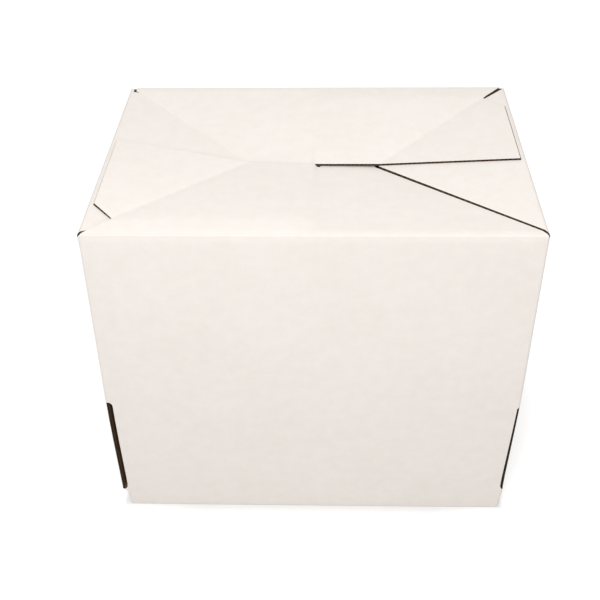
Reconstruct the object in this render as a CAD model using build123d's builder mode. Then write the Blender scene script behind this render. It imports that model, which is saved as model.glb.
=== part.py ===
"""Corrugated shipping box with a crash-lock base and a tuck-in lid.

The box stands on its closed lid, so its folded base is on top, as in the photograph.
X runs along the long walls, the front wall faces -Y, Z is up and the floor is z = 0.
"""

import os
from math import asin, cos, degrees, radians, sin, sqrt

from build123d import *

# Outer size
length = 312.0
depth = 214.0
height = 280.0

# Board and folds
board = 1.6
fold_inner = 0.4
layer_gap = 0.3

# Crash-lock base
sag = 10.0
tab_inset = 2.7
tab_corner = 35.0
front_tab_reach = 17.0
back_tab_reach = 9.0
tab_round = 3.0
front_seam_gap = 1.6
back_seam_gap = 0.5
front_centre_gap = 1.2
back_centre_gap = 0.4
ramp_share = 0.3
tongue = 26.0
tongue_taper_share = 0.05
short_flap_inset = 3.0
short_flap_tip = 5.0

# Bow of the side walls below the base, where the empty box is no longer quite square
left_bow = 4.3
right_bow = 1.6
bow_low = 20.0
bow_high = 100.0
upright_below_base = 12.0
bow_foot_round = 12.0
bow_low_round = 60.0
bow_high_round = 1500.0
bow_end_round = 400.0

# Lock slots in the front corners
slot_low = 20.0
slot_high = 121.0
slot_on_front = 4.0
slot_on_side = 2.4
slot_round = 3.5

# Glue lap inside the back left corner
lap_width = 32.0
lap_bevel = 9.0
lap_end = 14.0

# Dust flaps at the lid end
dust_flap = 98.0
dust_front_inset = 10.0
dust_taper = 9.0
dust_round = 12.0

# Lid and its tuck flap
lid_gap = 0.4
tuck = 60.0
tuck_side_gap = 1.5
tuck_round = 14.0
lean_spare = 1.0

# Worked out from the sizes above
left = -length / 2
front = -depth / 2
back = depth / 2
fold_radius = board + fold_inner
middle = depth / 2
seam_length = length - 2 * middle
ramp = ramp_share * seam_length
tongue_taper = tongue_taper_share * seam_length
slope = sag / (middle - fold_radius)
low_slope = (sag + layer_gap) / (middle - fold_radius)
level_run = board / slope
crease_start = fold_radius + level_run
fold_level = height - board + slope * (tab_inset - fold_radius)
wall_top = fold_level - fold_radius
dust_level = board + layer_gap
wall_foot = dust_level + fold_radius
lid_reach = depth - board - lid_gap
lid_width = length - 2 * layer_gap
tuck_width = length - 2 * (board + tuck_side_gap)
tuck_lean = degrees(asin(tuck / (2 * lid_reach))) + lean_spare


def side_line(base, bow):
    """A side wall's face seen from the front, from the floor up to the base's fold."""
    return FilletPolyline(
        (base, 0),
        (base, wall_foot),
        (base + bow, bow_low),
        (base + bow, bow_high),
        (base, wall_top - upright_below_base),
        (base, wall_top),
        radius=(bow_foot_round, bow_low_round, bow_high_round, bow_end_round),
    )


def wall_block(inset, radius):
    """A block with the walls' outer shape, or with their inner shape if inset by the board."""
    with BuildPart() as block:
        with BuildSketch(Plane.XZ):
            with BuildLine():
                left_side = side_line(left + inset, -left_bow)
                right_side = side_line(-left - inset, right_bow)
                Line(left_side @ 0, right_side @ 0)
                Line(left_side @ 1, right_side @ 1)
            make_face()
        extrude(amount=depth / 2 - inset, both=True)
        corner_folds = block.edges().filter_by(Plane.XZ).filter_by(Axis.X, reverse=True)
        fillet(corner_folds, radius=radius)
    return block.part


def fold_section(base, level, turn, outer):
    """A quarter-round fold and the flap behind it, seen along the fold.

    base is the wall's outer face, level the height of the flap's outer face where the fold
    ends, and turn is 1 for a flap at the top of the wall and -1 for one at its foot. outer
    lists the flap's outer face from there on, as (distance from the wall, height).
    """
    centre = (base + fold_radius, level - turn * fold_radius)
    skin = [(base + fold_radius, level)] + [(base + reach, z) for reach, z in outer]
    lining = [(u, z - turn * board) for u, z in skin]
    with BuildSketch() as section:
        with BuildLine():
            CenterArc(centre, fold_radius, 180, -90 * turn)
            Polyline(*skin, *reversed(lining))
            CenterArc(centre, fold_inner, 180, -90 * turn)
            Line((base, centre[1]), (base + board, centre[1]))
        make_face()
    return section.sketch


def outline(points):
    """An outline seen from above, given from the front left corner of the box."""
    with BuildSketch() as shape:
        with BuildLine():
            Polyline(*[(left + x, front + y) for x, y in points], close=True)
        make_face()
    return shape.sketch


def short_flap(seam_gap):
    """The base flap on the left wall, glued under the long flap's tab. Its back edge is free."""
    seam = seam_gap / sqrt(2)
    reach = (depth - seam - short_flap_inset - short_flap_tip) / 2
    tip_level = fold_level - slope * (reach - fold_radius)
    corners = [
        (0, short_flap_inset),
        (reach, reach + short_flap_inset),
        (reach, depth - reach - seam),
        (fold_radius - seam, depth - fold_radius),
        (0, depth - fold_radius),
    ]
    with BuildPart() as flap:
        with BuildSketch(Plane.XZ):
            add(fold_section(left, fold_level, 1, [(reach, tip_level)]))
        extrude(amount=middle, both=True)
        with BuildSketch():
            add(outline(corners))
        extrude(amount=2 * height, mode=Mode.INTERSECT)
    return flap.part


def glue_tab(reach):
    """The end of a long flap behind its 45-degree crease, glued on the short flap."""
    top = fold_level + board + slope * fold_radius
    corners = [
        (crease_start, crease_start),
        (middle - board, middle - board),
        (tab_inset, middle + reach),
        (tab_inset, tab_corner),
    ]
    with BuildPart() as tab:
        with BuildSketch(Plane.XZ):
            with BuildLine():
                Polyline(
                    (left, top),
                    (left + middle, top - slope * middle),
                    (left + middle, top - slope * middle - board),
                    (left, top - board),
                    close=True,
                )
            make_face()
        extrude(amount=depth, both=True)
        with BuildSketch() as shape:
            add(outline(corners))
            fillet(shape.vertices().group_by(Axis.X)[0], radius=tab_round)
        extrude(amount=2 * height, mode=Mode.INTERSECT)
    return tab.part


def upper_level(reach):
    """Height of a long flap's outer face where it lies on the other flaps."""
    return min(fold_level, fold_level + board - slope * (reach - fold_radius))


def lower_level(reach):
    """Height of a long flap's outer face where it lies under the other long flap."""
    return fold_level - low_slope * (reach - fold_radius)


def board_section(level, start, end):
    """Section of the front flap's board from start to end behind the front wall."""
    with BuildSketch() as section:
        with BuildLine():
            Polyline(
                (front + start, level(start)),
                (front + end, level(end)),
                (front + end, level(end) - board),
                (front + start, level(start) - board),
                close=True,
            )
        make_face()
    return section.sketch


def ramp_board(start, end):
    """A stretch of the front flap between its upper and its lower half."""
    with BuildPart() as stretch:
        with BuildSketch(Plane.YZ.offset(-ramp / 2)):
            add(board_section(upper_level, start, end))
        with BuildSketch(Plane.YZ.offset(ramp / 2)):
            add(board_section(lower_level, start, end))
        loft(ruled=True)
    return stretch.part


def long_flap(seam_gap, centre_gap, tab_reach):
    """The base flap on the front wall, with its glue tab on the left.

    Its left half lies on the other flaps and ends at the middle of the base. Its right half
    lies under them, with a tongue that reaches past the middle. Between the two halves the
    board ramps down by its own thickness.
    """
    seam = seam_gap / sqrt(2)
    halfway = length / 2
    butt_end = halfway + ramp / 2 + tongue_taper / 2
    valley = length - middle - seam
    corners = [
        (fold_radius, 0),
        (fold_radius, fold_radius),
        (middle, middle),
        (halfway - layer_gap, middle),
        (halfway - layer_gap, middle - centre_gap),
        (butt_end, middle - centre_gap),
        (butt_end + tongue_taper, middle + tongue),
        (valley - tongue_taper, middle + tongue),
        (valley, middle),
        (length - fold_radius, fold_radius - seam),
        (length - fold_radius, 0),
    ]
    with BuildPart() as flap:
        with BuildSketch(Plane.YZ):
            add(fold_section(front, fold_level, 1, []))
        extrude(amount=length / 2, both=True)
        with BuildSketch(Plane.YZ.offset(left)):
            add(board_section(upper_level, fold_radius, crease_start))
            add(board_section(upper_level, crease_start, middle))
        extrude(amount=(length - ramp) / 2)
        with BuildSketch(Plane.YZ.offset(ramp / 2)):
            add(board_section(lower_level, fold_radius, middle + tongue))
        extrude(amount=(length - ramp) / 2)
        add(ramp_board(fold_radius, crease_start))
        add(ramp_board(crease_start, middle))
        with BuildSketch():
            add(outline(corners))
        extrude(amount=2 * height, mode=Mode.INTERSECT)
        add(glue_tab(tab_reach))
    return flap.part


def dust_flaps():
    """Two flaps folded in from the side walls at the lid end."""
    near = board + dust_front_inset
    far = depth - fold_radius - layer_gap
    corners = [
        (0, near),
        (dust_flap, near + dust_taper),
        (dust_flap, far - dust_taper),
        (0, far),
    ]
    with BuildPart() as flaps:
        with BuildSketch(Plane.XZ):
            add(fold_section(left, dust_level, -1, [(dust_flap, dust_level)]))
        extrude(amount=depth, both=True)
        with BuildSketch() as shape:
            add(outline(corners))
            fillet(shape.vertices().group_by(Axis.X)[-1], radius=dust_round)
        extrude(amount=height, mode=Mode.INTERSECT)
        mirror(about=Plane.YZ)
    return flaps.part


def glue_lap():
    """The strip of board behind the back wall's end, glued inside the left wall."""
    top = wall_top - lap_end
    with BuildPart() as lap:
        with BuildSketch(Plane.XZ):
            with BuildLine():
                glued = side_line(left + board, -left_bow)
                free = side_line(left + 2 * board, -left_bow)
                Line(glued @ 0, free @ 0)
                Line(glued @ 1, free @ 1)
            make_face()
        extrude(amount=depth, both=True)
        with BuildSketch(Plane.YZ):
            with BuildLine():
                Polyline(
                    (back - board, lap_end),
                    (back - lap_width, lap_end + lap_bevel),
                    (back - lap_width, top - lap_bevel),
                    (back - board, top),
                    close=True,
                )
            make_face()
        extrude(amount=length, both=True, mode=Mode.INTERSECT)
    return lap.part


with BuildPart() as box_body:
    # Four walls in one band, with rounded corner folds
    add(wall_block(0, fold_radius))
    add(wall_block(board, fold_inner), mode=Mode.SUBTRACT)

    # Side and back walls stop above the lid, and the side walls turn into their dust flaps
    with BuildSketch():
        with Locations((0, front + board)):
            Rectangle(2 * length, 2 * depth, align=(Align.CENTER, Align.MIN))
    extrude(amount=dust_level, mode=Mode.SUBTRACT)
    with BuildSketch():
        with Locations((0, front + board)):
            Rectangle(2 * length, depth - board - fold_radius, align=(Align.CENTER, Align.MIN))
    extrude(amount=wall_foot, mode=Mode.SUBTRACT)

    # Lock slots across the two front corner folds
    slot_middle = (slot_low + slot_high) / 2
    with BuildSketch(Plane.XZ.offset(-front)):
        with Locations((left - left_bow, slot_middle), (-left + right_bow, slot_middle)):
            RectangleRounded(2 * slot_on_front, slot_high - slot_low, slot_round)
    extrude(amount=-slot_on_side, mode=Mode.SUBTRACT)

    # Crash-lock base: the back pair of flaps is the front pair turned half round
    add(short_flap(back_seam_gap))
    add(short_flap(front_seam_gap), rotation=(0, 0, 180))
    add(long_flap(front_seam_gap, front_centre_gap, front_tab_reach))
    add(long_flap(back_seam_gap, back_centre_gap, back_tab_reach), rotation=(0, 0, 180))

    add(dust_flaps())
    add(glue_lap())


with BuildPart() as lid:
    # Lid panel, from the fold at the back wall to the fold at the front wall
    with BuildSketch():
        with Locations((0, back)):
            Rectangle(lid_width, lid_reach - fold_radius, align=(Align.CENTER, Align.MAX))
    extrude(amount=board)
    hinge_edges = lid.edges().filter_by(Axis.X).group_by(Axis.Y)[-1]
    fillet(hinge_edges.sort_by(Axis.Z)[0], radius=board / 2)

    # Front fold, turned past a right angle by the tuck flap's lean
    fold_centre = (back - lid_reach + fold_radius, fold_radius)
    with BuildSketch(Plane.YZ):
        with BuildLine():
            skin = CenterArc(fold_centre, fold_radius, 270, -90 - tuck_lean)
            lining = CenterArc(fold_centre, fold_inner, 270, -90 - tuck_lean)
            Line(skin @ 0, lining @ 0)
            Line(skin @ 1, lining @ 1)
        make_face()
    extrude(amount=tuck_width / 2, both=True)

    # Tuck flap, leaning in just enough for its free edge to swing out past the front wall
    lean = radians(tuck_lean)
    tuck_plane = Plane(
        origin=(
            0,
            fold_centre[0] - fold_radius * cos(lean),
            fold_radius + fold_radius * sin(lean),
        ),
        x_dir=(1, 0, 0),
        z_dir=(0, -cos(lean), sin(lean)),
    )
    with BuildSketch(tuck_plane) as tuck_face:
        Rectangle(tuck_width, tuck - fold_radius, align=(Align.CENTER, Align.MIN))
        fillet(tuck_face.vertices().group_by(Axis.Y)[-1], radius=tuck_round)
    extrude(amount=-board)


box_body.part.label = "box_body"
lid.part.label = "lid"

os.makedirs("parts", exist_ok=True)
export_step(box_body.part, "parts/box_body.step")
export_step(lid.part, "parts/lid.step")
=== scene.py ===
"""Looks of a corrugated shipping box that stands on its lid, folded base up.

The board is made as on the real box: an outer liner, a fluted sheet and an inner liner. Each
is cut flat from a grid, to the outline of the box's blank, and then folded up, so that the
flutes run through every panel as they do in the real blank and show at each cut edge.
"""

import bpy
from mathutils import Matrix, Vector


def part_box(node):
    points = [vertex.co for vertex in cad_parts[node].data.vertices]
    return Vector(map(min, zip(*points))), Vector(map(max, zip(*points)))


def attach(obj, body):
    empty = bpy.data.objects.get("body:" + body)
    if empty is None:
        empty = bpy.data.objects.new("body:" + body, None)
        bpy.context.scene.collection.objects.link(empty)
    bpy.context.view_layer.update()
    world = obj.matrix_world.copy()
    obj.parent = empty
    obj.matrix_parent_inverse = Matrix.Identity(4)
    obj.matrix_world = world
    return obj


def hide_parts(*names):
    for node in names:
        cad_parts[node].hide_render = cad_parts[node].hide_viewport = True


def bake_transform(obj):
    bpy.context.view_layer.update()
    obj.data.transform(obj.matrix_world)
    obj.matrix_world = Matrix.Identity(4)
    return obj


bl_info = {
    "name": "Corrugated shipping box",
    "version": (1, 0, 0),
    "blender": (4, 5, 0),
    "location": "View3D > Sidebar > Box",
    "description": "Builds the boards, the lid and the studio of a crash-lock shipping box",
    "category": "Object",
}

from math import asin, cos, pi, radians, sin, sqrt

import bpy
import numpy as np
from bpy.props import FloatProperty, FloatVectorProperty, PointerProperty
from mathutils import Matrix, Vector

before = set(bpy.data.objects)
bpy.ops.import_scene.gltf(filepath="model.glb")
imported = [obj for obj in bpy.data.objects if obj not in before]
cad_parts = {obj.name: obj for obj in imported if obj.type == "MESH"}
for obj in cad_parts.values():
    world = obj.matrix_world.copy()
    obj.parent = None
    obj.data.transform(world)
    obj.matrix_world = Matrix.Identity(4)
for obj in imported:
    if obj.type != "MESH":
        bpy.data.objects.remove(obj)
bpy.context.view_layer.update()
BOX_LOW, BOX_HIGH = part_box("box_body")
LID_LOW, LID_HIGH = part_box("lid")

SMOOTH_ANGLE = radians(35)  # faces that meet at less are shaded as one surface
FLUTE_COLUMNS = 5  # grid cells across each flute
FLUTE_ROW = 0.035  # height of the fluted sheets' grid cells
CREASE_ROWS = 14  # grid cells down the strip at the hinge
GRID_PAST_MIDDLE = 0.03  # the uncut sheet reaches past mid-depth, for the tongues
GRID_PAST_DUST = 0.002  # and past the dust flaps
RAW_EDGE = 0.0006  # from the bend of the back left corner to the left wall's cut edge
LAP_START = 0.0004  # from that corner's fold to where the glue lap turns in
LAP_TURN = 0.004  # length over which the glue lap turns in behind the left wall
CREASE_STOP = 0.002  # the tabs' creases end this far before mid-depth
TAB_SHARE = 0.9  # a tab's level holds from this share of the way to its crease's start
CREASE_SHARE = 0.95  # and its pressed line from this one
SAG_RUN = 0.05  # length over which the right half's extra sag sets in
FOLD_SHADE_END = 1.1  # painted shade: the base's folds are painted darker up to this many fold radii from their middle
FOLD_SHADE_FULL = 0.4  # and darkest up to this many
GRAIN_RELIEF = 0.00003  # heights of the papers' reliefs, in metres
FLUTE_RELIEF = 0.00001
CLOUD_RELIEF = 0.0004
FIBRE_RELIEF = 0.00006
WAVE_TURNS = 20.0  # a wave texture turns by this many radians a metre at scale 1
CUT_THRESHOLD = 1e-6  # a cut takes the corners nearer than this as lying on it


def length(name, description, default):
    """A length in metres that shows with its unit."""
    return FloatProperty(
        name=name, description=description, default=default, precision=5, unit="LENGTH"
    )


def angle(name, description, degrees):
    """An angle that shows in degrees."""
    return FloatProperty(
        name=name, description=description, default=radians(degrees), subtype="ANGLE"
    )


def number(name, description, default):
    """A share, a power or another plain number."""
    return FloatProperty(name=name, description=description, default=default, precision=3)


def spot(name, description, default):
    """A place in metres."""
    return FloatVectorProperty(
        name=name, description=description, default=default, precision=4, unit="LENGTH"
    )


def tint(name, description, default):
    """A linear colour that shows as a swatch."""
    return FloatVectorProperty(
        name=name, description=description, default=default, min=0.0, max=1.0, subtype="COLOR"
    )


class BoardSettings(bpy.types.PropertyGroup):
    """The sheet that the box is cut from."""

    thickness: length("Thickness", "Board with both liners", 0.0016)
    liner: length("Liner", "One paper liner", 0.00026)
    medium: length("Medium", "Paper of the fluted sheet", 0.00014)
    flute_pitch: length("Flute pitch", "From one flute to the next", 0.0033)
    fold_inner: length("Inner fold radius", "Radius inside each fold", 0.0004)
    layer_gap: length("Layer gap", "Between layers that only touch", 0.0003)
    crease_depth: length("Crease depth", "How far a scored line is pressed in", 0.00038)
    crease_width: length("Crease width", "Half width of a scored line", 0.0013)
    # baring the darker plies behind the white liner paints a shade line along the tabs' outer edges
    setback: length("Setback", "White liner behind the cut edge of the tabs", 0.0006)
    column: length("Column", "Width of a liner's grid cells", 0.006)
    row: length("Row", "Height of a liner's grid cells", 0.008)


class BaseSettings(bpy.types.PropertyGroup):
    """The crash-lock base, seen from above."""

    sag: length("Sag", "How far the middle lies below the folds", 0.010)
    extra_sag: length("Extra sag", "How much lower the right half lies", 0.0017)
    tab_inset: length("Tab inset", "From the side wall to the glue tab", 0.0043)
    tab_corner: length("Tab corner", "Where the tab's cut corner starts", 0.0359)
    tab_root: length("Tab root", "Where the cut corner meets the crease", 0.0198)
    front_tab_reach: length("Front tab reach", "Past mid-depth at the wall", 0.017)
    back_tab_reach: length("Back tab reach", "Past mid-depth at the wall", 0.0108)
    front_seam: length("Front seam", "Gap of the right seam at its tip", 0.0013)
    seam_lean: length("Seam lean", "How far the right seam's tip leans left", 0.0020)
    back_seam: length("Back seam", "Gap of the free seam on the left", 0.0001)
    front_middle: length("Front middle gap", "Middle seam, right half", 0.0014)
    back_middle: length("Back middle gap", "Middle seam, left half", 0.0003)
    slit: length("Slit", "How far the middle seam opens to the right", 0.0011)
    crossing: length("Crossing", "Where the flaps pass, right of the middle", 0.0020)
    front_notch: length("Front notch", "Slit where the long flaps pass", 0.0008)
    back_notch: length("Back notch", "The same slit in the back flap", 0.0004)
    hole_start: length("Hole start", "Back left hole, from the side wall", 0.0036)
    hole_end: length("Hole end", "Back left hole, end from the side wall", 0.0055)
    hole_depth: length("Hole depth", "Back left hole, from the back wall", 0.0088)
    bend_side: length("Bend side", "Right seam's bend to the side wall", 0.0035)
    bend_front: length("Bend front", "Right seam's bend to the front wall", 0.0066)
    bend_open: length("Bend open", "Half of the right seam's gap at its bend", 0.00055)
    left_cut: length("Left cut", "Front flap's edge at the left corner", 0.0025)
    left_corner: length("Left corner", "Opening at the front left corner", 0.0019)
    left_corner_run: length("Left corner run", "Length of that opening", 0.0060)
    right_cut: length("Right cut", "Back flap's edge at the right corner", 0.0042)
    right_corner: length("Right corner", "Opening at the back right corner", 0.0028)
    right_corner_run: length("Right corner run", "Length of that opening", 0.0200)
    ramp: length("Ramp", "Step between the two levels, at the fold", 0.0294)
    ramp_end: length("Ramp end", "Step between the two levels, at the middle", 0.0026)
    tip_inset: length("Tip inset", "Short flaps end this far from the middle", 0.0010)
    tongue: length("Tongue", "How far the lower halves reach under", 0.026)
    tongue_taper: length("Tongue taper", "Slant of the tongue's sides", 0.0049)


class WallSettings(bpy.types.PropertyGroup):
    """Walls, lock slots, dust flaps and the glue lap."""

    slot_low: length("Slot foot", "Height of the slots' lower end", 0.0190)
    slot_high: length("Slot top", "Height of the slots' upper end", 0.121)
    left_slot: length("Left slot", "Cut out of the front wall", 0.0049)
    right_slot: length("Right slot", "Cut out of the front wall, at the top", 0.0021)
    right_slot_wide: length("Right slot foot", "The same at its lower end", 0.0030)
    slot_on_side: length("Slot on side", "Cut out of the side wall", 0.0024)
    right_slot_drop: length("Right slot drop", "How much lower its top lies", 0.0023)
    right_slot_lift: length("Right slot lift", "How much higher its foot lies", 0.0038)
    slot_round: length("Slot corner", "Corner radius on the front wall", 0.0035)
    bow_high: length("Bow top", "Height from which the walls lean in", 0.100)
    upright: length("Upright", "Upright stretch below the base", 0.012)
    foot_high: length("Foot top", "Height below which the bow is gone", 0.0140)
    left_foot: length("Left foot", "How far the left wall's foot stands in", 0.0006)
    right_foot: length("Right foot", "How far the right wall's foot stands in", 0.0018)
    right_in: length("Right in", "Height up to which the right wall isn't bowed", 0.037)
    right_out: length("Right out", "Height from which it is bowed in full", 0.120)
    foot_corner: length("Foot corner", "Cut lower corners of the front wall", 0.0012)
    corner_lean: length("Corner lean", "Lean of the back left corner", 0.0015)
    bow_knee: length("Bow knee", "Length over which a wall turns", 0.020)
    crown: length("Crown", "How far the walls' middles stand out", 0.0006)
    lap_width: length("Lap width", "Glue lap inside the left wall", 0.032)
    lap_bevel: length("Lap bevel", "Cut ends of the glue lap", 0.009)
    lap_end: length("Lap end", "From the wall's end to the lap", 0.0045)
    dust_flap: length("Dust flap", "Reach of the flaps under the lid", 0.098)
    dust_inset: length("Dust flap inset", "Behind the front wall", 0.010)
    dust_taper: length("Dust flap taper", "Slant of the dust flaps' sides", 0.009)
    dust_round: length("Dust flap corner", "Corner radius", 0.012)


class LidSettings(bpy.types.PropertyGroup):
    """The lid panel and its tuck flap."""

    gap: length("Gap", "Between the lid's fold and the front wall", 0.0004)
    tuck: length("Tuck", "Length of the tuck flap", 0.060)
    side_gap: length("Side gap", "Between the tuck flap and the side walls", 0.0015)
    tuck_round: length("Tuck corner", "Corner radius of the tuck flap", 0.014)
    lean_spare: angle("Spare lean", "Beyond what clears the front wall", 1.0)
    crease_reach: length("Crease reach", "Of the liner strip at the hinge", 0.004)


class PaperSettings(bpy.types.PropertyGroup):
    """Colours of the papers, and how far each pattern shows."""

    white: tint("White liner", "Outer liner", (0.948, 0.890, 0.838))
    white_shade: tint("White liner shade", "Its darker clouds", (0.888, 0.828, 0.773))
    kraft: tint("Kraft", "Inner liner and flutes", (0.36, 0.21, 0.11))
    kraft_shade: tint("Kraft shade", "Their darker fibres", (0.25, 0.135, 0.065))
    # near-black: the raw edges' darker paper, plus painted shade for the seams and slots
    cut_edge_and_painted_shade: tint("Cut edge", "Paper where it is cut", (0.028, 0.017, 0.010))
    clouds: number("Clouds", "Share of soft clouds in the white liner's tone", 0.35)
    mottling: number("Mottling", "Share of its mottling", 0.45)
    grain: number("Grain", "Share of its fine grain", 0.2)
    specks: number("Specks", "How brown its specks are", 0.10)
    # painted shade along the base's folds, which tones down their highlight
    fold_painted_shade: number("Fold tint", "How brown it is along the base's folds", 0.11)
    # painted shade: the fluted sheet is painted most of the way to the near-black cut-edge colour,
    # for the shade in its flutes
    flute_painted_shade: number("Flutes", "How far the fluted sheet goes to the cut-edge colour", 0.85)


class StudioSettings(bpy.types.PropertyGroup):
    """Camera, lamps and floor."""

    focal: number("Focal length", "Lens, in millimetres", 56.03)
    position: spot("Camera position", "Where the camera stands", (0.0096, -0.6086, 0.6335))
    pitch: angle("Pitch", "Down from the horizon", 39.228)
    yaw: angle("Yaw", "Turned to the right", -2.080)
    roll: angle("Roll", "Turned about the lens", -1.080)
    floor_size: length("Floor size", "Side of the square floor", 8.0)
    floor_drop: length("Floor drop", "Floor below the lid's outer face", 0.0002)
    floor_margin: length("Floor margin", "Floor that reaches under the box", 0.0025)
    floor_plain: number("Floor", "Grey of the floor as the box's light sees it", 0.52)
    floor_pale: number("Seen floor", "Grey of the floor as the camera sees it", 0.9)
    # painted light: the camera-only white grows from near to far and whitens the shadows and lamp
    # fall-off on the floor beside the box
    floor_white: number("Floor white", "White that the camera adds to it near the box", 0.02)
    far_white: number("Far white", "The same, away from the box", 0.42)
    near: length("Near", "Where the floor starts to turn whiter", 0.15)
    far: length("Far", "Where the floor is whitest", 0.25)
    front_power: number("Front lamp", "Power of the soft box in front, in watts", 5.6)
    front_size: length("Front lamp size", "Side of the square soft box", 0.55)
    front_place: spot("Front lamp place", "Where the soft box stands", (-0.06, -0.85, 0.84))
    top_power: number("Top lamp", "Strength of the lamp straight above", 0.63)
    top_tilt: angle("Top lamp tilt", "Back from straight above: a narrow shadow in front", 1.0)
    top_softness: angle("Top lamp softness", "How wide it looks from the box", 2.0)
    sky: number("Sky", "Strength of the light from all round", 0.53)


GROUPS = {
    "box_board": BoardSettings,
    "box_base": BaseSettings,
    "box_walls": WallSettings,
    "box_lid": LidSettings,
    "box_paper": PaperSettings,
    "box_studio": StudioSettings,
}


def settings(name):
    """One of the scene's setting groups."""
    return getattr(bpy.context.scene, name)


def smooth(value):
    """Smooth step from 0 to 1."""
    share = np.clip(value, 0.0, 1.0)
    return share * share * (3.0 - 2.0 * share)


def round_corner(steps):
    """Shares of a corner's radius that are missing across and along it, from end to end."""
    turns = [step * pi / (2 * steps) for step in range(steps + 1)]
    return [(1 - cos(turn), 1 - sin(turn)) for turn in turns]


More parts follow.
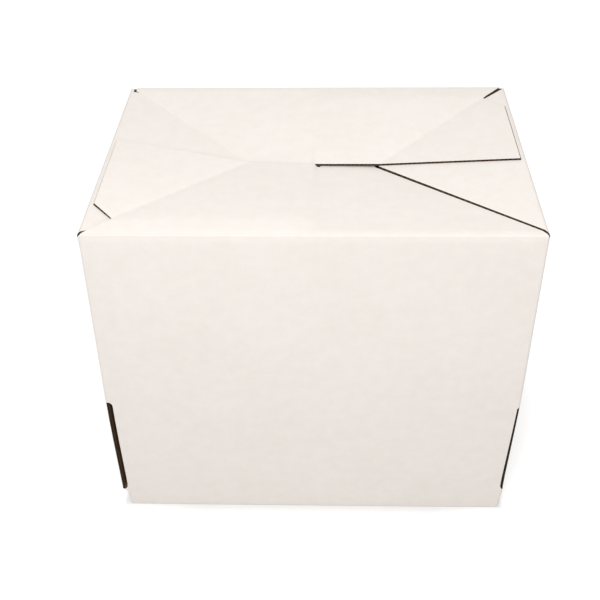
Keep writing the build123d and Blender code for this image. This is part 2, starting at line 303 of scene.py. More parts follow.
class Blank:
    """The box's blank: its flat outline and how it folds up.

    A flat point is (s, t). s runs round the walls, from the left wall's back end through the
    front, right and back walls to the glue lap, and t is the height on the walls. Beyond the
    walls t runs on over the folds into the flaps.
    """

    def __init__(self):
        board, base = settings("box_board"), settings("box_base")
        self.board, self.base, self.walls = board, base, settings("box_walls")
        self.width = LID_HIGH.x - LID_LOW.x + 2 * board.layer_gap
        self.depth = BOX_HIGH.y - BOX_LOW.y
        self.round = board.thickness + board.fold_inner
        self.middle = self.depth / 2
        run = self.middle - self.round
        self.slope = base.sag / run
        self.low_slope = (base.sag + board.layer_gap) / run
        self.crease_start = self.round + board.thickness / self.slope
        top = BOX_HIGH.z - board.thickness + self.slope * (base.tab_inset - self.round)
        self.fold_level = top
        self.wall_top = top - self.round
        self.dust_level = board.thickness + board.layer_gap
        self.dust_top = self.dust_level + self.round
        self.arc_half = self.round * (1 - pi / 4)
        self.arc_start = self.round * (1 - pi / 2)
        west, east = -self.width / 2, self.width / 2
        south, north = BOX_LOW.y, BOX_HIGH.y
        self.corners = np.array([[west, north], [west, south], [east, south], [east, north]])
        self.along = np.array([[0, -1], [1, 0], [0, 1], [-1, 0]], float)
        self.outward = np.array([[-1, 0], [0, -1], [1, 0], [0, 1]], float)
        self.starts = [0.0]
        for wide in (self.depth, self.width) * 2:
            self.starts.append(self.starts[-1] + wide - 2 * self.arc_half)

    def top_flap(self, wall, points):
        """Flat points of a base flap, from distances along and inward from its wall."""
        rise = self.wall_top - self.arc_start
        return [(self.starts[wall] + a, u + rise) for a, u in points]

    def dust_flap(self, wall):
        """Outline of a dust flap. The left one is the right one turned round."""
        walls, rise = self.walls, self.dust_top + self.arc_start
        near = self.board.thickness + walls.dust_inset
        far = self.depth - self.round - self.board.layer_gap
        reach, taper, corner = walls.dust_flap, walls.dust_taper, walls.dust_round
        points = [(near, self.arc_start), (near + taper * (1 - corner / reach), reach - corner)]
        for across, inward in round_corner(4)[1:]:
            points.append((near + taper + corner * across, reach - corner * inward))
        points += [(near + far - a, u) for a, u in reversed(points)]
        if wall == 0:
            points = [(self.depth - a, u) for a, u in reversed(points)]
        return [(self.starts[wall] + a, rise - u) for a, u in points]

    def long_flap(self, wall, seam, middle_gap, tab_reach, notch, setback, start, end):
        """Outline of a long base flap with its glue tab, with the points of its two ends."""
        base, middle, wide = self.base, self.middle, self.width
        gap = self.board.layer_gap
        lean = base.seam_lean if wall == 1 else 0.0
        half = wide / 2 + (base.crossing if wall == 1 else -base.crossing)
        valley = wide - middle - seam - lean
        tongue_start = half + base.ramp_end
        # the white liner stops short here, so the darker plies show as a painted shade line
        tab_edge = base.tab_inset + setback
        points = [
            *start,
            (base.tab_root, base.tab_root),
            (tab_edge, base.tab_corner),
            (tab_edge, middle + tab_reach),
            (middle, middle),
            (half - gap, middle),
            (half - 2 * gap, middle - notch),
            (half + gap, middle - notch),
            (half + 2 * gap, middle - middle_gap),
            (tongue_start, middle - middle_gap),
            (tongue_start + base.tongue_taper, middle + base.tongue),
            (valley - base.tongue_taper, middle + base.tongue),
            (valley, middle),
            *[(wide - side, rise) for side, rise in end],
        ]
        return self.top_flap(wall, points)

    def short_flap(self, wall, seam, start, corner, corner_run):
        """Outline of a short base flap, with the points of its free seam at the fold.

        The other end of the flap stands open by a narrow wedge at the corner of the box.
        """
        base, fold_end, end = self.base, self.round, self.depth
        reach = (self.depth - seam) / 2 - base.tip_inset
        lean = base.seam_lean if wall == 2 else 0.0
        points = [
            *[(rise, side) for side, rise in start],
            (reach + seam, reach + lean),
            (end - reach, reach + lean),
            (end - self.crease_start, self.crease_start),
            (end - corner_run, corner_run),
            (end - fold_end - corner, fold_end),
            (end - self.board.layer_gap, self.arc_start),
        ]
        return self.top_flap(wall, points)

    def outlines(self, back_foot, setback):
        """Every outline of the blank as a list of flat points.

        The back wall starts at back_foot. The ply's edge lies behind the tabs' by setback.
        """
        base, walls, half = self.base, self.walls, self.arc_half
        left, front, right, back, lap = self.starts

        def panel(low_s, high_s, low_t, high_t):
            return [(low_s, low_t), (high_s, low_t), (high_s, high_t), (low_s, high_t)]

        top, foot = self.wall_top, self.dust_top
        deep, wide = self.depth, self.width
        low, high, bevel = walls.lap_end, top - walls.lap_end, walls.lap_bevel
        cut, near_left, near_right = walls.foot_corner, front + half, front + wide - half
        front_panel = [
            (near_left, cut),
            (near_left + cut, 0.0),
            (near_right - cut, 0.0),
            (near_right, cut),
            (near_right, top),
            (near_left, top),
        ]
        right_seam, left_seam = base.front_seam / sqrt(2), base.back_seam / sqrt(2)
        fold_start, fold_end, gap = self.arc_start, self.round, self.board.layer_gap
        left_run, left_cut, right_cut = base.left_corner_run, base.left_cut, base.right_cut
        front_start = [
            (gap, fold_start),
            (left_cut, left_cut / 2),
            (left_run - left_cut, left_cut),
            (left_run, left_run),
        ]
        side, rise, half_open = base.bend_side, base.bend_front, base.bend_open
        front_end = [(side + half_open, rise - half_open), (half_open, fold_start)]
        back_start = [(right_cut, fold_start), (right_cut, fold_end)]
        back_end = [
            (base.hole_depth, base.hole_depth),
            (base.hole_end, base.hole_depth - fold_end),
            (base.hole_end, fold_start),
        ]
        left_points = [
            (fold_start, 4 * gap),
            (base.hole_start - gap, base.hole_start - gap),
            (base.hole_start, base.hole_depth - gap),
            (base.hole_depth, base.hole_depth),
        ]
        right_points = [(fold_start, half_open), (side - half_open, rise + half_open)]
        front_flap = (base.front_middle, base.front_tab_reach, base.front_notch, setback)
        back_flap = (base.back_middle, base.back_tab_reach, base.back_notch, setback)
        return [
            panel(left + self.round + RAW_EDGE, left + deep - half, foot, top),
            front_panel,
            panel(right + half, right + deep - half, foot, top),
            panel(back + half, back + wide - half, back_foot, top),
            [
                (lap + half, low),
                (lap + walls.lap_width, low + bevel),
                (lap + walls.lap_width, high - bevel),
                (lap + half, high),
            ],
            self.long_flap(1, right_seam, *front_flap, front_start, front_end),
            self.long_flap(3, left_seam, *back_flap, back_start, back_end),
            self.short_flap(0, left_seam, left_points, base.left_corner, left_run),
            self.short_flap(2, right_seam, right_points, base.right_corner, base.right_corner_run),
            self.dust_flap(2),
            self.dust_flap(0),
        ]

    def slots(self):
        """Outlines of the two lock slots, cut across the front corner folds."""
        walls = self.walls
        shapes = []
        low, high = walls.slot_low, walls.slot_high
        right_low, right_high = low + walls.right_slot_lift, high - walls.right_slot_drop
        left = (1, 1, low, high, walls.left_slot, walls.left_slot)
        right = (2, -1, right_low, right_high, walls.right_slot_wide, walls.right_slot)
        for wall, side, low, high, low_front, high_front in (left, right):
            fold = self.starts[wall] + self.arc_half
            side_edge = walls.slot_on_side - self.arc_half
            points = [(-side_edge, low), (-side_edge, high)]
            corner = min(walls.slot_round, high_front)
            for up, across in round_corner(3):
                points.append((high_front - self.arc_half - corner * across, high - corner * up))
            corner = min(walls.slot_round, low_front)
            for up, across in reversed(round_corner(3)):
                points.append((low_front - self.arc_half - corner * across, low + 2 * corner * up))
            shapes.append([(fold + side * across, t) for across, t in points])
        return shapes

    def fold_lines(self):
        """Lines along which a grid has to be cut before it is folded, as pairs of points."""
        walls = self.walls
        right_end = self.starts[4] + walls.lap_width
        levels = []
        for eighth in range(5):
            bend = self.round * (eighth * pi / 8)
            levels += [self.wall_top + bend, self.dust_top - bend]
        for share in (0.0, 0.5, 1.0):
            levels.append(walls.foot_high + (walls.slot_low - walls.foot_high) * share)
        lines = [((0.0, level), (right_end, level)) for level in levels]
        for start in self.starts[1:]:
            for eighth in (-2, -1, 0, 1, 2):
                s = start + self.arc_half + self.round * eighth * pi / 8
                lines.append(((s, 0.0), (s, self.wall_top)))
        for wall in (1, 3):
            for fifth in range(6):
                share = fifth / 5
                foot = (self.width / 2 + (share - 0.5) * self.base.ramp, self.round)
                head = (self.width / 2 + share * self.base.ramp_end, self.middle + self.base.tongue)
                lines.append(tuple(self.top_flap(wall, [foot, head])))
            knee = [(self.round, self.crease_start), (self.width, self.crease_start)]
            lines.append(tuple(self.top_flap(wall, knee)))
            for shift in (-self.board.crease_width, 0.0, self.board.crease_width):
                low, high = self.crease_start, self.middle - CREASE_STOP
                crease = [(low + shift, low - shift), (high + shift, high - shift)]
                lines.append(tuple(self.top_flap(wall, crease)))
        return lines

    def flap_level(self, wall, a, u):
        """Height of the base flaps' outer face, pressed in along the creases of the tabs."""
        board, rest = self.board.thickness, self.fold_level
        short = rest - self.slope * (u - self.round)
        upper = np.minimum(rest, rest + board - self.slope * (u - self.round))
        lower = rest - self.low_slope * (u - self.round)
        inward = np.clip(u / self.middle, 0.0, 1.0)
        open_share = np.clip((a - self.width / 2) / (self.width / 2 - self.middle), 0.0, 1.0)
        lower = lower - self.base.slit * open_share * inward * (wall == 1)
        ramp = self.base.ramp + (self.base.ramp_end - self.base.ramp) * inward
        shift = smooth((a - self.width / 2 - self.base.ramp_end / 2 * inward) / ramp + 0.5)
        long = upper * (1 - shift) + lower * shift
        tab = (a < u) & (u > self.crease_start * TAB_SHARE) & (a < self.middle)
        long = np.where(tab, rest + board - self.slope * (a - self.round), long)
        from_crease = np.abs(a - u) / sqrt(2)
        crease = np.exp(-((from_crease / self.board.crease_width) ** 2))
        crease = np.where((a < self.middle) & (u > self.crease_start * CREASE_SHARE), crease, 0.0)
        is_long = (wall == 1) | (wall == 3)
        return np.where(is_long, long - self.board.crease_depth * crease, short)

    def bow(self, z):
        """Share of the side walls' bow at a height."""
        walls = self.walls
        leans_from = self.wall_top - walls.upright
        share = np.clip((leans_from - z) / (leans_from - walls.bow_high), 0.0, 1.0)
        knee = np.clip((z - walls.bow_high + walls.bow_knee) / (2 * walls.bow_knee), 0.0, 1.0)
        share -= knee * (1 - knee) * walls.bow_knee / (leans_from - walls.bow_high)
        return np.where(z < leans_from, share, 0.0)

    def above_foot(self, x, z):
        """How far a wall is out of its foot's lean, and how much of its bow it has there.

        The left wall turns in just under its slot. The right wall does so more evenly.
        """
        walls = self.walls
        left = smooth((z - walls.foot_high) / (walls.slot_low - walls.foot_high))
        right = np.clip(z / walls.slot_low, 0.0, 1.0)
        bowed = np.clip((z - walls.right_in) / (walls.right_out - walls.right_in), 0.0, 1.0)
        return np.where(x < 0, left, right), np.where(x < 0, left, bowed)

    def handle(self, points):
        """Bow, crown and lean the walls, as on an empty, handled box, and let the base sink."""
        walls, base = self.walls, self.base
        x, y, z = points.T
        half_wide, half_deep = self.width / 2, self.depth / 2
        reach = np.where(x < 0, -half_wide - BOX_LOW.x, BOX_HIGH.x - half_wide)
        across, deep = np.abs(x) / half_wide, np.abs(y) / half_deep
        rise = np.clip(z / self.wall_top, 0.0, 1.0)
        crown = walls.crown * np.sin(pi * rise) ** 2 * (z < self.wall_top)
        moved = points.copy()
        side_crown = crown * np.clip(1 - deep**2, 0.0, 1.0) * across**3
        long_crown = crown * np.clip(1 - across**2, 0.0, 1.0) * deep**3
        above_foot, bowed = self.above_foot(x, z)
        foot_in = np.where(x < 0, walls.left_foot, walls.right_foot) * (1 - above_foot)
        outward = (reach * self.bow(z) * bowed - foot_in) * across**3 + side_crown
        back_left = rise**2 * np.clip(-x / half_wide, 0.0, 1.0) ** 3 * (0.5 + y / self.depth)
        moved[:, 0] += np.sign(x) * outward + walls.corner_lean * back_left
        moved[:, 1] += np.sign(y) * long_crown
        inward = np.minimum(half_wide - np.abs(x), half_deep - np.abs(y)) / self.middle
        on_base = z > self.wall_top - 2 * base.sag
        moved[:, 2] -= base.extra_sag * inward * smooth(x / SAG_RUN + 1.0) * on_base
        return moved

    def fold_up(self, flat, ply):
        """Places of flat points in the folded box, ply below the board's outer face."""
        s, t = flat[:, 0], flat[:, 1]
        edges = [start + self.arc_half for start in self.starts[1:]]
        panel = np.searchsorted(edges, s)
        wall = panel % 4
        a = s - np.array(self.starts)[panel]
        wide = np.array([self.depth, self.width] * 2)[wall]
        corner, along, outward = self.corners[wall], self.along[wall], self.outward[wall]
        lap = panel == 4
        lap_start = self.arc_half + LAP_START
        behind = self.board.thickness * smooth((a - lap_start) / LAP_TURN)
        ply = ply + np.where(lap, behind, 0.0)

        # Round the corner folds, where a is within the fold radius of either end
        bent = np.where(a < self.round, (a - self.round) / self.round, 0.0)
        past = a - (wide - self.round)
        bent = np.where((past > 0) & ~lap, past / self.round, bent)
        straight = np.where(lap, np.maximum(a, self.round), np.clip(a, self.round, wide - self.round))
        normal = outward * np.cos(bent)[:, None] + along * np.sin(bent)[:, None]
        centre = corner + along * straight[:, None] - outward * self.round
        inner = (self.round - ply)[:, None]
        wall_xy = centre + normal * inner

        # Over the top folds into the base, and over the lower folds into the dust flaps
        up = t - self.wall_top + self.arc_start
        down = self.dust_top - t + self.arc_start
        side = (wall == 0) | (wall == 2)
        over, under = up > self.arc_start, (down > self.arc_start) & side & ~lap
        inward = np.where(over, up, np.where(under, down, self.arc_start))
        turn = np.clip((self.round - inward) / self.round, 0.0, pi / 2)
        reach = np.where(inward < self.round, self.round - (self.round - ply) * np.sin(turn), inward)
        rise = (self.round - ply) * np.cos(turn)
        flap_xy = corner + along * a[:, None] - outward * reach[:, None]
        on_flap = inward >= self.round
        high = np.where(on_flap, self.flap_level(wall, a, inward) - ply, self.wall_top + rise)
        low = np.where(on_flap, self.dust_level + ply, self.dust_top - rise)
        z = np.where(over, high, np.where(under, low, t))
        xy = np.where((over | under)[:, None], flap_xy, wall_xy)
        return self.handle(np.column_stack((xy, z)))


class LidBlank:
    """The lid's part of the blank. A flat point is (x, v), with v from the hinge forwards."""

    def __init__(self):
        board, lid = settings("box_board"), settings("box_lid")
        self.board, self.lid = board, lid
        self.round = board.thickness + board.fold_inner
        self.back = BOX_HIGH.y
        self.reach = BOX_HIGH.y - BOX_LOW.y - board.thickness - lid.gap
        self.lean = asin(lid.tuck / (2 * self.reach)) + lid.lean_spare
        self.half_width = LID_HIGH.x - settings("box_walls").right_foot + board.layer_gap
        self.half_tuck = LID_HIGH.x + board.layer_gap - board.thickness - lid.side_gap
        self.bend_start = self.reach - self.round
        self.bend_end = self.bend_start + self.round * (pi / 2 + self.lean)
        self.end = self.bend_end + lid.tuck - self.round

    def outlines(self, first):
        """The panel's outline from first on, and the tuck flap's."""
        wide, slim, end = self.half_width, self.half_tuck, self.end
        corner = self.lid.tuck_round
        tuck = [(slim, self.bend_start)]
        for across, along in round_corner(6):
            tuck.append((slim - corner * across, end - corner * along))
        tuck += [(-x, v) for x, v in reversed(tuck)]
        start = self.bend_start
        return [[(-wide, first), (wide, first), (wide, start), (-wide, start)], tuck]

    def fold_lines(self):
        """Lines along the front fold."""
        turns = [self.bend_start + (self.bend_end - self.bend_start) * k / 6 for k in range(7)]
        return [((-self.half_width, v), (self.half_width, v)) for v in turns]

    def fold_up(self, flat, ply):
        """Places of flat points in the closed lid, ply above the board's outer face."""
        x, v = flat[:, 0], flat[:, 1]
        turn = np.clip((v - self.bend_start) / self.round, 0.0, pi / 2 + self.lean)
        inner = self.round - ply
        centre_y = self.back - self.bend_start
        y = centre_y - inner * np.sin(turn)
        z = self.round - inner * np.cos(turn)
        y += np.maximum(self.bend_start - v, 0.0)
        along_tuck = np.maximum(v - self.bend_end, 0.0)
        y += along_tuck * sin(self.lean)
        z += along_tuck * cos(self.lean)
        return np.column_stack((x, y, z))


class CreaseBlank:
    """The strip of outer liner at the hinge: down the back wall, and round under the lid."""

    def __init__(self):
        lid = LidBlank()
        self.round, self.back = lid.round, lid.back
        self.straight = settings("box_lid").crease_reach - self.round
        self.arc = self.round * pi / 2
        self.half_width = lid.half_width - self.round
        self.end = 2 * self.straight + self.arc

    def fold_up(self, flat, ply):
        """Places of flat points on the strip, ply below its outer face."""
        x, v = flat[:, 0], flat[:, 1]
        turn = np.clip((v - self.straight) / self.round, 0.0, pi / 2)
        inner = self.round - ply
        past_arc = np.maximum(v - self.straight - self.arc, 0.0)
        y = self.back - self.round + inner * np.cos(turn) - past_arc
        z = self.round - inner * np.sin(turn) + np.maximum(self.straight - v, 0.0)
        return np.column_stack((x, y, z))


def edit_mesh(operator, /, **options):
    """Run one edit-mode operator on what is selected in the active object."""
    bpy.ops.object.mode_set(mode="EDIT")
    operator(**options)
    bpy.ops.object.mode_set(mode="OBJECT")


def face_centres(mesh):
    """Centres of a flat mesh's faces, as an array of (s, t)."""
    centres = np.empty(len(mesh.polygons) * 3)
    mesh.polygons.foreach_get("center", centres)
    return centres.reshape(-1, 3)[:, :2]


def select_faces(mesh, chosen):
    """Select exactly the chosen faces of a mesh in object mode."""
    mesh.vertices.foreach_set("select", np.zeros(len(mesh.vertices), bool))
    mesh.edges.foreach_set("select", np.zeros(len(mesh.edges), bool))
    mesh.polygons.foreach_set("select", chosen)


def flat_grid(name, low, high, column, row):
    """A flat grid of cells of about the given size."""
    wide, tall = high[0] - low[0], high[1] - low[1]
    bpy.ops.object.select_all(action="DESELECT")
    bpy.ops.mesh.primitive_grid_add(
        x_subdivisions=max(2, round(wide / column)),
        y_subdivisions=max(2, round(tall / row)),
        size=1.0,
        location=(0, 0, 0),
    )
    piece = bpy.context.object
    piece.name = name
    piece.data.name = name
    edit_mesh(bpy.ops.transform.resize, value=(wide, tall, 1.0))
    centre = ((low[0] + high[0]) / 2, (low[1] + high[1]) / 2, 0.0)
    edit_mesh(bpy.ops.transform.translate, value=centre)
    return piece


def cut_along(piece, start, end, margin):
    """Cut the faces near a line segment along it."""
    mesh = piece.data
    start, end = np.array(start), np.array(end)
    centres = face_centres(mesh)
    low, high = np.minimum(start, end) - margin, np.maximum(start, end) + margin
    near = ((centres > low) & (centres < high)).all(axis=1)
    if not near.any():
        return
    select_faces(mesh, near)
    run = end - start
    edit_mesh(
        bpy.ops.mesh.bisect,
        plane_co=(*start, 0.0),
        plane_no=(-run[1], run[0], 0.0),
        threshold=CUT_THRESHOLD,
    )


def inside(points, outline):
    """Which points lie inside an outline."""
    x, y = points.T
    found = np.zeros(len(points), bool)
    for (x1, y1), (x2, y2) in zip(outline, outline[1:] + outline[:1]):
        if y1 == y2:
            continue
        crosses = (y1 > y) != (y2 > y)
        found ^= crosses & (x < (x2 - x1) * (y - y1) / (y2 - y1) + x1)
    return found


def die_cut(piece, outlines, holes, margin):
    """Cut a flat grid to its outlines and holes, as the die does with the real blank."""
    for outline in outlines + holes:
        for start, end in zip(outline, outline[1:] + outline[:1]):
            cut_along(piece, start, end, margin)
    centres = face_centres(piece.data)
    kept = np.zeros(len(centres), bool)
    for outline in outlines:
        kept |= inside(centres, outline)
    for hole in holes:
        kept &= ~inside(centres, hole)
    select_faces(piece.data, ~kept)
    edit_mesh(bpy.ops.mesh.delete, type="FACE")


def fold(piece, blank, ply):
    """Keep the flat places as the piece's UV map, then fold the piece up."""
    mesh = piece.data
    flat = np.empty(len(mesh.vertices) * 3)
    mesh.vertices.foreach_get("co", flat)
    flat = flat.reshape(-1, 3)[:, :2]
    corner_vertex = np.empty(len(mesh.loops), int)
    mesh.loops.foreach_get("vertex_index", corner_vertex)
    layer = mesh.uv_layers.active or mesh.uv_layers.new(name="Blank")
    layer.name = "Blank"
    layer.data.foreach_set("uv", flat[corner_vertex].ravel())
    places = blank.fold_up(flat, ply(flat) if callable(ply) else np.full(len(flat), ply))
    mesh.vertices.foreach_set("co", places.ravel())
    mesh.update()


class Value:
    """A shader socket on which Python's arithmetic can be written."""

    def __init__(self, shader, socket):
        self.shader = shader
        self.socket = socket

    def math(self, operation, other=None, swapped=False):
        """A Math node on this value and another."""
        inputs = [self] if other is None else [self, other]
        if swapped:
            inputs.reverse()
        return self.shader.node("Math", {"operation": operation}, dict(enumerate(inputs)))

    def __add__(self, other):
        return self.math("ADD", other)

    def __sub__(self, other):
        return self.math("SUBTRACT", other)

    def __mul__(self, other):
        return self.math("MULTIPLY", other)

    def __radd__(self, other):
        return self.math("ADD", other, swapped=True)

    def __rsub__(self, other):
        return self.math("SUBTRACT", other, swapped=True)

    def __rmul__(self, other):
        return self.math("MULTIPLY", other, swapped=True)


class Shader:
    """The node tree of a new material, or of a world, written from code."""

    def __init__(self, owner):
        if isinstance(owner, str):
            owner = bpy.data.materials.new(owner)
            owner.use_nodes = True
        self.owner = owner
        self.tree = owner.node_tree
        self.tree.nodes.clear()

    def node(self, kind, options=None, inputs=None, output=0):
        """Add a node: its settings first, then the values or links of its sockets."""
        node = self.tree.nodes.new("ShaderNode" + kind)
        for name, value in (options or {}).items():
            setattr(node, name, value)
        for key, value in (inputs or {}).items():
            socket = node.inputs[key]
            if isinstance(value, Value):
                self.tree.links.new(value.socket, socket)
            else:
                socket.default_value = value
        return Value(self, node.outputs[output])

    def seen_rays(self):
        """1 for rays that show the surroundings: straight, in a gloss or through glass."""
        kinds = ("Is Camera Ray", "Is Glossy Ray", "Is Transmission Ray")
        camera, glossy, through = [self.node("LightPath", output=kind) for kind in kinds]
        return camera.math("MAXIMUM", glossy.math("MAXIMUM", through))

    def mix(self, factor, first, second):
        """Mix two colours."""
        sockets = {"Factor": factor, 6: first, 7: second}
        return self.node("Mix", {"data_type": "RGBA"}, sockets, output=2)

    def noise(self, vector, scale, detail=2.0, roughness=0.5):
        """Noise from 0 to 1."""
        sockets = {"Vector": vector, "Scale": scale, "Detail": detail, "Roughness": roughness}
        return self.node("TexNoise", None, sockets)

    def spread(self, value, low, high):
        """Stretch a value so that low becomes 0 and high becomes 1."""
        sockets = {"Value": value, "From Min": low, "From Max": high}
        return self.node("MapRange", {"clamp": True}, sockets)

    def paper(self, colour, roughness, gloss, relief, strength):
        """Finish the material as a paper with a fine relief, in metres."""
        bump = {"Height": relief, "Strength": strength, "Distance": 1.0}
        sockets = {
            "Base Color": colour,
            "Roughness": roughness,
            "Specular IOR Level": gloss,
            "Normal": self.node("Bump", None, bump),
        }
        return self.finish(self.node("BsdfPrincipled", None, sockets))

    def finish(self, surface, kind="Material"):
        """Send a shader to the output and return the tree's owner."""
        out = self.tree.nodes.new("ShaderNodeOutput" + kind)
        self.tree.links.new(surface.socket, out.inputs["Surface"])
        return self.owner


def rgba(colour):
    """A colour property with alpha."""
    return (*colour, 1.0)


def grey(level):
    """A grey with alpha."""
    return (level, level, level, 1.0)


def white_liner():
    """Coated white liner: warm white with faint clouds, mottling, grain and a hint of flutes.

    Along the folds of the base it is painted a little darker: painted shade that tones down the
    folds' highlight.
    """
    paper, blank = settings("box_paper"), Blank()
    shader = Shader("white_liner")
    uv = shader.node("UVMap", {"uv_map": "Blank"})
    clouds = shader.noise(uv, scale=14.0, detail=3.0, roughness=0.6)
    mottle = shader.noise(uv, scale=95.0, detail=4.0, roughness=0.65)
    grain = shader.noise(uv, scale=900.0, detail=3.0, roughness=0.6)
    specks = shader.spread(shader.noise(uv, scale=2600.0, detail=1.0), 0.70, 0.80)
    tone = shader.spread(clouds, 0.3, 0.7) * paper.clouds
    tone = tone + shader.spread(grain, 0.3, 0.7) * paper.grain
    tone = shader.spread(mottle, 0.35, 0.65) * paper.mottling + tone
    colour = shader.mix(tone, rgba(paper.white_shade), rgba(paper.white))
    colour = shader.mix(specks * paper.specks, colour, rgba(paper.kraft))
    # Painted shade: darker along the folds into the base, to tone down their highlight
    height = shader.node("SeparateXYZ", None, {0: uv}, output=1)
    from_fold = (height - (blank.wall_top + blank.round * pi / 4)).math("ABSOLUTE")
    folded = shader.spread(from_fold, blank.round * FOLD_SHADE_END, blank.round * FOLD_SHADE_FULL)
    colour = shader.mix(folded * paper.fold_painted_shade, colour, rgba(paper.kraft_shade))
    waves = shader.node(
        "TexWave",
        {"wave_type": "BANDS", "bands_direction": "X", "wave_profile": "SIN"},
        {"Vector": uv, "Scale": 2 * pi / blank.board.flute_pitch / WAVE_TURNS},
    )
    relief = grain * GRAIN_RELIEF + waves * FLUTE_RELIEF + clouds * CLOUD_RELIEF
    roughness = shader.spread(clouds, 0.0, 1.0) * 0.1 + 0.62
    shader.paper(colour, roughness, gloss=0.35, relief=relief, strength=0.6)


def kraft_paper(name, painted_shade_share):
    """Brown recycled paper with fibres; the second argument is how far it goes to the near-black
    cut-edge colour, which is painted shade.
    """
    paper = settings("box_paper")
    shader = Shader(name)
    uv = shader.node("UVMap", {"uv_map": "Blank"})
    fibres = shader.noise(uv, scale=1400.0, detail=4.0, roughness=0.7)
    clouds = shader.noise(uv, scale=30.0, detail=3.0, roughness=0.6)
    tone = shader.spread(fibres, 0.3, 0.7) * 0.6 + shader.spread(clouds, 0.3, 0.7) * 0.4
    colour = shader.mix(tone, rgba(paper.kraft_shade), rgba(paper.kraft))
    colour = shader.mix(painted_shade_share, colour, rgba(paper.cut_edge_and_painted_shade))
    shader.paper(colour, roughness=0.86, gloss=0.25, relief=fibres * FIBRE_RELIEF, strength=0.7)


def papers():
    """All papers, made once."""
    if "white_liner" not in bpy.data.materials:
        white_liner()
        kraft_paper("kraft_liner", 0.0)
        # The fluted sheet is painted towards the near-black cut-edge colour: painted shade in its
        # flutes
        kraft_paper("fluting", settings("box_paper").flute_painted_shade)
        kraft_paper("cut_edge_and_painted_shade", 1.0)


def finish_sheet(piece, thickness, names):
    """Give a folded sheet its papers and its thickness, inwards from its outer face.

    The last two names are the papers of its inner face and of its cut edges.
    """
    papers()
    for name in names:
        piece.data.materials.append(bpy.data.materials[name])
    bpy.ops.object.select_all(action="DESELECT")
    piece.select_set(True)
    bpy.context.view_layer.objects.active = piece
    shell = piece.modifiers.new("Paper", "SOLIDIFY")
    shell.thickness = thickness
    shell.offset = -1.0
    shell.use_even_offset = False
    shell.material_offset = len(names) - 2
    shell.material_offset_rim = len(names) - 1
    bpy.ops.object.modifier_apply(modifier=shell.name)
    bpy.ops.object.shade_smooth_by_angle(angle=SMOOTH_ANGLE)


def cut_and_fold(name, blank, low, high, cell, ply, outlines, holes):
    """Cut one ply of a blank from a flat grid with the given cells, and fold it up."""
    piece = flat_grid(name, low, high, *cell)
    margin = max(cell)
    for start, end in blank.fold_lines():
        cut_along(piece, start, end, margin)
    die_cut(piece, outlines, holes, margin)
    fold(piece, blank, ply)
    return piece


def body_sheet(name, cell, ply, back_foot, setback=0.0):
    """One ply of the box's blank, cut and folded."""
    blank = Blank()
    high = (blank.starts[4] + blank.walls.lap_width, blank.wall_top + blank.middle + GRID_PAST_MIDDLE)
    low = (0.0, blank.dust_level - blank.walls.dust_flap - GRID_PAST_DUST)
    outlines = blank.outlines(back_foot, setback)
    return cut_and_fold(name, blank, low, high, cell, ply, outlines, blank.slots())


def lid_sheet(name, cell, ply, first):
    """One ply of the lid, from first on, cut and folded."""
    blank = LidBlank()
    low, high = (-blank.half_width, first), (blank.half_width, blank.end)
    return cut_and_fold(name, blank, low, high, cell, ply, blank.outlines(first), [])


def flute_ply(flat):
    """Depth of the fluted sheet under the board's outer face."""
    board = settings("box_board")
    room = board.thickness / 2 - board.liner - board.medium / 2
    wave = np.cos(2 * pi * flat[:, 0] / board.flute_pitch)
    return board.thickness / 2 - board.medium / 2 + room * wave


def liner_cell():
    """Grid cell of a liner."""
    board = settings("box_board")
    return board.column, board.row


def flute_cell():
    """Grid cell of a fluted sheet, a share of its pitch wide."""
    return settings("box_board").flute_pitch / FLUTE_COLUMNS, FLUTE_ROW


class OuterLiner(bpy.types.Operator):
    """Cut, fold and finish the box's white outer liner"""

    bl_idname = "shipping_box.outer_liner"
    bl_label = "Outer liner"

    def execute(self, context):
        board = settings("box_board")
        back_foot = settings("box_lid").crease_reach
        piece = body_sheet("outer_liner", liner_cell(), 0.0, back_foot, board.setback)
        finish_sheet(piece, board.liner, ["white_liner", "kraft_liner", "cut_edge_and_painted_shade"])
        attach(piece, "box")
        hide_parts("box_body")
        return {"FINISHED"}


class InnerLiner(bpy.types.Operator):
    """Cut, fold and finish the box's brown inner liner"""

    bl_idname = "shipping_box.inner_liner"
    bl_label = "Inner liner"

    def execute(self, context):
        board = settings("box_board")
        ply = board.thickness - board.liner
        piece = body_sheet("inner_liner", liner_cell(), ply, Blank().dust_level)
        finish_sheet(piece, board.liner, ["kraft_liner", "kraft_liner", "cut_edge_and_painted_shade"])
        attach(piece, "box")
        return {"FINISHED"}


class FlutedSheet(bpy.types.Operator):
    """Cut and fold the fluted sheet between the box's liners"""

    bl_idname = "shipping_box.fluted_sheet"
    bl_label = "Fluted sheet"

    def execute(self, context):
        piece = body_sheet("fluted_sheet", flute_cell(), flute_ply, Blank().dust_level)
        finish_sheet(piece, settings("box_board").medium, ["fluting", "cut_edge_and_painted_shade"])
        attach(piece, "box")
        return {"FINISHED"}


class LidBoard(bpy.types.Operator):
    """Cut, fold and finish the lid's three plies"""

    bl_idname = "shipping_box.lid_board"
    bl_label = "Lid"

    def execute(self, context):
        board, inside = settings("box_board"), LidBlank().round
        crease, deep = settings("box_lid").crease_reach, board.thickness - board.liner
        plies = (
            ("lid_outer_liner", liner_cell(), 0.0, crease, board.liner, "white_liner"),
            ("lid_inner_liner", liner_cell(), deep, inside, board.liner, "kraft_liner"),
            ("lid_fluted_sheet", flute_cell(), flute_ply, inside, board.medium, "kraft_liner"),
        )
        for name, cell, ply, first, paper, outside in plies:
            piece = lid_sheet(name, cell, ply, first)
            finish_sheet(piece, paper, [outside, "kraft_liner", "cut_edge_and_painted_shade"])
            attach(piece, "lid")
            if name == "lid_outer_liner":
                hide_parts("lid")
        return {"FINISHED"}


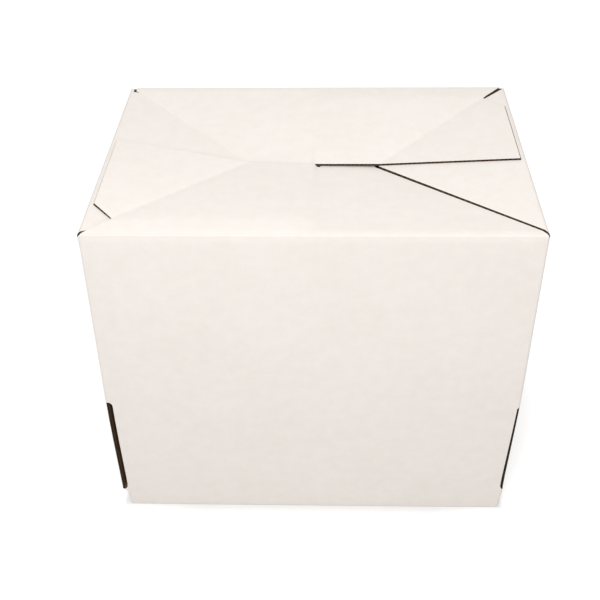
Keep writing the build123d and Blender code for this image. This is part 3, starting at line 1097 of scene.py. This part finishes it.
class HingeCrease(bpy.types.Operator):
    """Make the strip of outer liner that bends where the lid meets the back wall"""

    bl_idname = "shipping_box.hinge_crease"
    bl_label = "Hinge crease"

    def execute(self, context):
        board, blank = settings("box_board"), CreaseBlank()
        low, high = (-blank.half_width, 0.0), (blank.half_width, blank.end)
        piece = flat_grid("hinge_crease", low, high, board.column, blank.end / CREASE_ROWS)
        fold(piece, blank, 0.0)
        finish_sheet(piece, board.liner, ["white_liner", "kraft_liner", "cut_edge_and_painted_shade"])
        blank.back - blank.round
        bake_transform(piece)
        return {"FINISHED"}


class Studio(bpy.types.Operator):
    """Set up the camera, the lamps, the pale floor and the white surroundings"""

    bl_idname = "shipping_box.studio"
    bl_label = "Studio"

    def execute(self, context):
        studio = settings("box_studio")
        self.add_camera(studio)
        self.add_floor(studio)
        self.add_lamps(studio)
        self.add_sky(studio)
        context.scene.view_settings.view_transform = "Standard"
        return {"FINISHED"}

    def add_camera(self, studio):
        """Camera fitted to the outline of the photographed box."""
        bpy.ops.object.camera_add()
        camera = bpy.context.object
        camera.name = "camera"
        camera.data.lens = studio.focal
        turn = (
            Matrix.Rotation(-studio.yaw, 3, "Z")
            @ Matrix.Rotation(pi / 2 - studio.pitch, 3, "X")
            @ Matrix.Rotation(studio.roll, 3, "Z")
        )
        camera.rotation_euler = turn.to_euler()
        camera.location = studio.position
        bpy.context.scene.camera = camera

    def add_lamps(self, studio):
        """A soft box in front of the box and above it, and a lamp straight above."""
        bpy.ops.object.light_add(type="AREA", location=studio.front_place)
        front = bpy.context.object
        front.name = "front_lamp"
        front.data.shape = "SQUARE"
        front.data.size = studio.front_size
        front.data.energy = studio.front_power
        middle = Vector((0.0, BOX_LOW.y, BOX_HIGH.z / 2))
        towards = Vector(studio.front_place) - middle
        front.rotation_euler = towards.to_track_quat("Z", "Y").to_euler()
        bpy.ops.object.light_add(type="SUN", rotation=(-studio.top_tilt, 0.0, 0.0))
        top = bpy.context.object
        top.name = "top_lamp"
        top.data.energy = studio.top_power
        top.data.angle = studio.top_softness

    def add_floor(self, studio):
        """White floor that keeps the box's contact shadow in front; further out a camera-only glow
        paints light over the floor's shadows and fall-off. It is open under the box and from below.
        """
        bpy.ops.object.select_all(action="DESELECT")
        bpy.ops.mesh.primitive_plane_add(size=1.0, location=(0.0, 0.0, -studio.floor_drop))
        floor = bpy.context.object
        floor.name = "floor"
        under = (LID_HIGH.x - studio.floor_margin, BOX_HIGH.y - studio.floor_margin, 1.0)
        edit_mesh(bpy.ops.transform.resize, value=(2 * under[0], 2 * under[1], 1.0))
        edit_mesh(bpy.ops.mesh.extrude_edges_move)
        reach = studio.floor_size / 2
        edit_mesh(bpy.ops.transform.resize, value=(reach / under[0], reach / under[1], 1.0))
        off_centre = [face.center.xy.length for face in floor.data.polygons]
        select_faces(floor.data, np.array(off_centre) < studio.floor_margin)
        edit_mesh(bpy.ops.mesh.delete, type="FACE")
        select_faces(floor.data, np.array([face.normal.z < 0 for face in floor.data.polygons]))
        edit_mesh(bpy.ops.mesh.flip_normals)
        shader = Shader("pale_floor")
        plain = shader.node("BsdfDiffuse", None, {"Color": grey(studio.floor_plain)})
        pale = shader.node("BsdfDiffuse", None, {"Color": grey(studio.floor_pale)})
        # Painted light: a camera-only glow that grows away from the box and whitens the shadows and
        # lamp fall-off beside it
        place = shader.node("TexCoord", output="Object")
        distance = shader.node("VectorMath", {"operation": "LENGTH"}, {0: place}, output="Value")
        share = shader.spread(distance, studio.near, studio.far)
        white = shader.mix(share, grey(studio.floor_white), grey(studio.far_white))
        glow = shader.node("Emission", None, {"Color": white, "Strength": 1.0})
        lit = shader.node("AddShader", None, {0: pale, 1: glow})
        seen = shader.node("MixShader", None, {0: shader.seen_rays(), 1: plain, 2: lit})
        behind = shader.node("NewGeometry", output="Backfacing")
        clear = shader.node("BsdfTransparent")
        surface = shader.node("MixShader", None, {0: behind, 1: seen, 2: clear})
        floor.data.materials.append(shader.finish(surface))

    def add_sky(self, studio):
        """White surroundings: plain light for the box, pure white for the camera."""
        world = bpy.data.worlds.new("studio_white")
        bpy.context.scene.world = world
        world.use_nodes = True
        shader = Shader(world)
        light = shader.node("Background", None, {"Color": grey(1.0), "Strength": studio.sky})
        seen = shader.node("Background", None, {"Color": grey(1.0), "Strength": 1.0})
        surface = shader.node("MixShader", None, {0: shader.seen_rays(), 1: light, 2: seen})
        shader.finish(surface, kind="World")


OPERATORS = (Studio, OuterLiner, FlutedSheet, InnerLiner, LidBoard, HingeCrease)


class BoxPanel(bpy.types.Panel):
    """The box's build steps, in order"""

    bl_idname = "VIEW3D_PT_shipping_box"
    bl_label = "Shipping box"
    bl_space_type = "VIEW_3D"
    bl_region_type = "UI"
    bl_category = "Box"

    def draw(self, context):
        for operator in OPERATORS:
            self.layout.operator(operator.bl_idname)


def register():
    for group in GROUPS.values():
        bpy.utils.register_class(group)
    for name, group in GROUPS.items():
        setattr(bpy.types.Scene, name, PointerProperty(type=group))
    for operator in OPERATORS:
        bpy.utils.register_class(operator)
    bpy.utils.register_class(BoxPanel)


def unregister():
    bpy.utils.unregister_class(BoxPanel)
    for operator in reversed(OPERATORS):
        bpy.utils.unregister_class(operator)
    for name, group in reversed(GROUPS.items()):
        delattr(bpy.types.Scene, name)
        bpy.utils.unregister_class(group)


def main():
    """Build everything in order."""
    register()
    bpy.ops.shipping_box.studio()
    bpy.ops.shipping_box.outer_liner()
    bpy.ops.shipping_box.fluted_sheet()
    bpy.ops.shipping_box.inner_liner()
    bpy.ops.shipping_box.lid_board()
    bpy.ops.shipping_box.hinge_crease()


if __name__ == "__main__":
    main()
